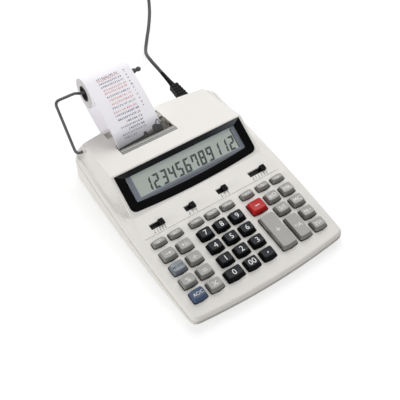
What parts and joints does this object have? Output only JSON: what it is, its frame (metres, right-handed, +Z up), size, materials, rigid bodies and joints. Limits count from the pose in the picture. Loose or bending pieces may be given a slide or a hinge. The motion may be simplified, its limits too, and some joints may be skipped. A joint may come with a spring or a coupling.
{
  "type": "desktop printing calculator",
  "caption": "Desktop printing calculator with a tilted key deck, display pod, slide switches, ink printer and a paper roll on a hinged wire arm.",
  "frame": {"origin": "middle of the underside of the box round the calculator, without its cord", "axes": "+X to the right as the user sits, +Y from the user to the back, +Z up"},
  "size_m": [0.415, 0.5496, 0.0921],
  "materials": {
    "case_white": "fine matt moulding texture",
    "black_gloss": "glossy black bezel with a clear window",
    "lcd_green": "pale grey-green display glass",
    "board_green": "solder mask and rubber mat",
    "dark_plastic": "dark grey mechanism",
    "black_rubber": "matt rubber",
    "black_vinyl": "soft black vinyl",
    "switch_black": "fine matt",
    "grey_metal": "dull grey",
    "dark_wire": "dark grey coated wire",
    "paper": "white bond paper",
    "key_grey": "satin moulding",
    "key_black": "satin moulding",
    "key_red": "satin moulding",
    "key_blue": "satin moulding"
  },
  "bodies": {
    "case": {"upper_case": "case_white", "lower_case": "case_white", "foot_front_left": "black_rubber", "foot_front_right": "black_rubber", "foot_rear_left": "black_rubber", "foot_rear_right": "black_rubber", "display_window": "black_gloss", "lcd_panel": "lcd_green", "main_board": "board_green", "printer_frame": "dark_plastic", "tear_bar": "grey_metal", "paper_tape": "paper", "power_plug": "black_vinyl", "cord_lead": "black_vinyl", "cord_coil": "black_vinyl", "mains_plug": "black_vinyl"},
    "arm": {"paper_arm": "dark_wire"},
    "roll": {"paper_roll": "paper"},
    "platen": {"platen_roller": "black_rubber"},
    "switch_round_body": {"switch_round": "switch_black"},
    "switch_item_body": {"switch_item": "switch_black"},
    "switch_total_body": {"switch_total": "switch_black"},
    "switch_decimal_body": {"switch_decimal": "switch_black"},
    "key_top_1_body": {"key_top_1": "key_grey"},
    "key_top_2_body": {"key_top_2": "key_grey"},
    "key_top_3_body": {"key_top_3": "key_grey"},
    "key_top_4_body": {"key_top_4": "key_grey"},
    "key_top_5_body": {"key_top_5": "key_grey"},
    "key_top_6_body": {"key_top_6": "key_grey"},
    "key_top_7_body": {"key_top_7": "key_grey"},
    "key_top_8_body": {"key_top_8": "key_grey"},
    "key_left_a1_body": {"key_left_a1": "key_grey"},
    "key_left_a2_body": {"key_left_a2": "key_grey"},
    "key_left_a3_body": {"key_left_a3": "key_grey"},
    "key_left_a4_body": {"key_left_a4": "key_blue"},
    "key_left_b1_body": {"key_left_b1": "key_grey"},
    "key_left_b2_body": {"key_left_b2": "key_grey"},
    "key_left_b3_body": {"key_left_b3": "key_grey"},
    "key_left_b4_body": {"key_left_b4": "key_grey"},
    "key_7_body": {"key_7": "key_black"},
    "key_8_body": {"key_8": "key_black"},
    "key_9_body": {"key_9": "key_black"},
    "key_4_body": {"key_4": "key_black"},
    "key_5_body": {"key_5": "key_black"},
    "key_6_body": {"key_6": "key_black"},
    "key_1_body": {"key_1": "key_black"},
    "key_2_body": {"key_2": "key_black"},
    "key_3_body": {"key_3": "key_black"},
    "key_0_body": {"key_0": "key_black"},
    "key_00_body": {"key_00": "key_black"},
    "key_point_body": {"key_point": "key_black"},
    "key_minus_body": {"key_minus": "key_red"},
    "key_plus_body": {"key_plus": "key_grey"},
    "key_right_c1_body": {"key_right_c1": "key_grey"},
    "key_right_c2_body": {"key_right_c2": "key_grey"},
    "key_total_body": {"key_total": "key_grey"},
    "key_memory_1_body": {"key_memory_1": "key_grey"},
    "key_memory_2_body": {"key_memory_2": "key_grey"},
    "key_memory_3_body": {"key_memory_3": "key_grey"},
    "key_memory_4_body": {"key_memory_4": "key_grey"}
  },
  "joints": [
    {"name": "arm_tilt", "type": "hinge", "parent": "case", "child": "arm", "pos_m": [-0.08, 0.08636, 0.03934], "axis": [1, 0, 0], "range_deg": [-35, 45], "deforming": ["paper_tape"]},
    {"name": "roll_spin", "type": "hinge", "parent": "arm", "child": "roll", "pos_m": [-0.0255, 0.13281, 0.07345], "axis": [1, 0, 0], "continuous": true},
    {"name": "platen_spin", "type": "hinge", "parent": "case", "child": "platen", "pos_m": [-0.0255, 0.06338, 0.03803], "axis": [1, 0, 0], "continuous": true},
    {"name": "switch_round_slide", "type": "slide", "parent": "case", "child": "switch_round_body", "axis": [1, 0, 0], "range_m": [-0.0096, 0]},
    {"name": "switch_item_slide", "type": "slide", "parent": "case", "child": "switch_item_body", "axis": [1, 0, 0], "range_m": [-0.0058, 0]},
    {"name": "switch_total_slide", "type": "slide", "parent": "case", "child": "switch_total_body", "axis": [1, 0, 0], "range_m": [-0.006, 0]},
    {"name": "switch_decimal_slide", "type": "slide", "parent": "case", "child": "switch_decimal_body", "axis": [1, 0, 0], "range_m": [-0.015, 0]},
    {"name": "key_top_1_press", "type": "slide", "parent": "case", "child": "key_top_1_body", "axis": [0, 0.0958, -0.9954], "range_m": [0, 0.0024], "stiffness_N_per_m": 150, "springref_m": -0.001},
    {"name": "key_top_2_press", "type": "slide", "parent": "case", "child": "key_top_2_body", "axis": [0, 0.0958, -0.9954], "range_m": [0, 0.0024], "stiffness_N_per_m": 150, "springref_m": -0.001},
    {"name": "key_top_3_press", "type": "slide", "parent": "case", "child": "key_top_3_body", "axis": [0, 0.0958, -0.9954], "range_m": [0, 0.0024], "stiffness_N_per_m": 150, "springref_m": -0.001},
    {"name": "key_top_4_press", "type": "slide", "parent": "case", "child": "key_top_4_body", "axis": [0, 0.0958, -0.9954], "range_m": [0, 0.0024], "stiffness_N_per_m": 150, "springref_m": -0.001},
    {"name": "key_top_5_press", "type": "slide", "parent": "case", "child": "key_top_5_body", "axis": [0, 0.0958, -0.9954], "range_m": [0, 0.0024], "stiffness_N_per_m": 150, "springref_m": -0.001},
    {"name": "key_top_6_press", "type": "slide", "parent": "case", "child": "key_top_6_body", "axis": [0, 0.0958, -0.9954], "range_m": [0, 0.0024], "stiffness_N_per_m": 150, "springref_m": -0.001},
    {"name": "key_top_7_press", "type": "slide", "parent": "case", "child": "key_top_7_body", "axis": [0, 0.0958, -0.9954], "range_m": [0, 0.0024], "stiffness_N_per_m": 150, "springref_m": -0.001},
    {"name": "key_top_8_press", "type": "slide", "parent": "case", "child": "key_top_8_body", "axis": [0, 0.0958, -0.9954], "range_m": [0, 0.0024], "stiffness_N_per_m": 150, "springref_m": -0.001},
    {"name": "key_left_a1_press", "type": "slide", "parent": "case", "child": "key_left_a1_body", "axis": [0, 0.0958, -0.9954], "range_m": [0, 0.0024], "stiffness_N_per_m": 150, "springref_m": -0.001},
    {"name": "key_left_a2_press", "type": "slide", "parent": "case", "child": "key_left_a2_body", "axis": [0, 0.0958, -0.9954], "range_m": [0, 0.0024], "stiffness_N_per_m": 150, "springref_m": -0.001},
    {"name": "key_left_a3_press", "type": "slide", "parent": "case", "child": "key_left_a3_body", "axis": [0, 0.0958, -0.9954], "range_m": [0, 0.0024], "stiffness_N_per_m": 150, "springref_m": -0.001},
    {"name": "key_left_a4_press", "type": "slide", "parent": "case", "child": "key_left_a4_body", "axis": [0, 0.0958, -0.9954], "range_m": [0, 0.0024], "stiffness_N_per_m": 150, "springref_m": -0.001},
    {"name": "key_left_b1_press", "type": "slide", "parent": "case", "child": "key_left_b1_body", "axis": [0, 0.0958, -0.9954], "range_m": [0, 0.0024], "stiffness_N_per_m": 150, "springref_m": -0.001},
    {"name": "key_left_b2_press", "type": "slide", "parent": "case", "child": "key_left_b2_body", "axis": [0, 0.0958, -0.9954], "range_m": [0, 0.0024], "stiffness_N_per_m": 150, "springref_m": -0.001},
    {"name": "key_left_b3_press", "type": "slide", "parent": "case", "child": "key_left_b3_body", "axis": [0, 0.0958, -0.9954], "range_m": [0, 0.0024], "stiffness_N_per_m": 150, "springref_m": -0.001},
    {"name": "key_left_b4_press", "type": "slide", "parent": "case", "child": "key_left_b4_body", "axis": [0, 0.0958, -0.9954], "range_m": [0, 0.0024], "stiffness_N_per_m": 150, "springref_m": -0.001},
    {"name": "key_7_press", "type": "slide", "parent": "case", "child": "key_7_body", "axis": [0, 0.0958, -0.9954], "range_m": [0, 0.0024], "stiffness_N_per_m": 150, "springref_m": -0.001},
    {"name": "key_8_press", "type": "slide", "parent": "case", "child": "key_8_body", "axis": [0, 0.0958, -0.9954], "range_m": [0, 0.0024], "stiffness_N_per_m": 150, "springref_m": -0.001},
    {"name": "key_9_press", "type": "slide", "parent": "case", "child": "key_9_body", "axis": [0, 0.0958, -0.9954], "range_m": [0, 0.0024], "stiffness_N_per_m": 150, "springref_m": -0.001},
    {"name": "key_4_press", "type": "slide", "parent": "case", "child": "key_4_body", "axis": [0, 0.0958, -0.9954], "range_m": [0, 0.0024], "stiffness_N_per_m": 150, "springref_m": -0.001},
    {"name": "key_5_press", "type": "slide", "parent": "case", "child": "key_5_body", "axis": [0, 0.0958, -0.9954], "range_m": [0, 0.0024], "stiffness_N_per_m": 150, "springref_m": -0.001},
    {"name": "key_6_press", "type": "slide", "parent": "case", "child": "key_6_body", "axis": [0, 0.0958, -0.9954], "range_m": [0, 0.0024], "stiffness_N_per_m": 150, "springref_m": -0.001},
    {"name": "key_1_press", "type": "slide", "parent": "case", "child": "key_1_body", "axis": [0, 0.0958, -0.9954], "range_m": [0, 0.0024], "stiffness_N_per_m": 150, "springref_m": -0.001},
    {"name": "key_2_press", "type": "slide", "parent": "case", "child": "key_2_body", "axis": [0, 0.0958, -0.9954], "range_m": [0, 0.0024], "stiffness_N_per_m": 150, "springref_m": -0.001},
    {"name": "key_3_press", "type": "slide", "parent": "case", "child": "key_3_body", "axis": [0, 0.0958, -0.9954], "range_m": [0, 0.0024], "stiffness_N_per_m": 150, "springref_m": -0.001},
    {"name": "key_0_press", "type": "slide", "parent": "case", "child": "key_0_body", "axis": [0, 0.0958, -0.9954], "range_m": [0, 0.0024], "stiffness_N_per_m": 150, "springref_m": -0.001},
    {"name": "key_00_press", "type": "slide", "parent": "case", "child": "key_00_body", "axis": [0, 0.0958, -0.9954], "range_m": [0, 0.0024], "stiffness_N_per_m": 150, "springref_m": -0.001},
    {"name": "key_point_press", "type": "slide", "parent": "case", "child": "key_point_body", "axis": [0, 0.0958, -0.9954], "range_m": [0, 0.0024], "stiffness_N_per_m": 150, "springref_m": -0.001},
    {"name": "key_minus_press", "type": "slide", "parent": "case", "child": "key_minus_body", "axis": [0, 0.0958, -0.9954], "range_m": [0, 0.0024], "stiffness_N_per_m": 150, "springref_m": -0.001},
    {"name": "key_plus_press", "type": "slide", "parent": "case", "child": "key_plus_body", "axis": [0, 0.0958, -0.9954], "range_m": [0, 0.0024], "stiffness_N_per_m": 150, "springref_m": -0.001},
    {"name": "key_right_c1_press", "type": "slide", "parent": "case", "child": "key_right_c1_body", "axis": [0, 0.0958, -0.9954], "range_m": [0, 0.0024], "stiffness_N_per_m": 150, "springref_m": -0.001},
    {"name": "key_right_c2_press", "type": "slide", "parent": "case", "child": "key_right_c2_body", "axis": [0, 0.0958, -0.9954], "range_m": [0, 0.0024], "stiffness_N_per_m": 150, "springref_m": -0.001},
    {"name": "key_total_press", "type": "slide", "parent": "case", "child": "key_total_body", "axis": [0, 0.0958, -0.9954], "range_m": [0, 0.0024], "stiffness_N_per_m": 150, "springref_m": -0.001},
    {"name": "key_memory_1_press", "type": "slide", "parent": "case", "child": "key_memory_1_body", "axis": [0, 0.0958, -0.9954], "range_m": [0, 0.0024], "stiffness_N_per_m": 150, "springref_m": -0.001},
    {"name": "key_memory_2_press", "type": "slide", "parent": "case", "child": "key_memory_2_body", "axis": [0, 0.0958, -0.9954], "range_m": [0, 0.0024], "stiffness_N_per_m": 150, "springref_m": -0.001},
    {"name": "key_memory_3_press", "type": "slide", "parent": "case", "child": "key_memory_3_body", "axis": [0, 0.0958, -0.9954], "range_m": [0, 0.0024], "stiffness_N_per_m": 150, "springref_m": -0.001},
    {"name": "key_memory_4_press", "type": "slide", "parent": "case", "child": "key_memory_4_body", "axis": [0, 0.0958, -0.9954], "range_m": [0, 0.0024], "stiffness_N_per_m": 150, "springref_m": -0.001}
  ],
  "couplings": [
    {"joint": "platen_spin", "follows": "roll_spin", "ratio": 3}
  ]
}
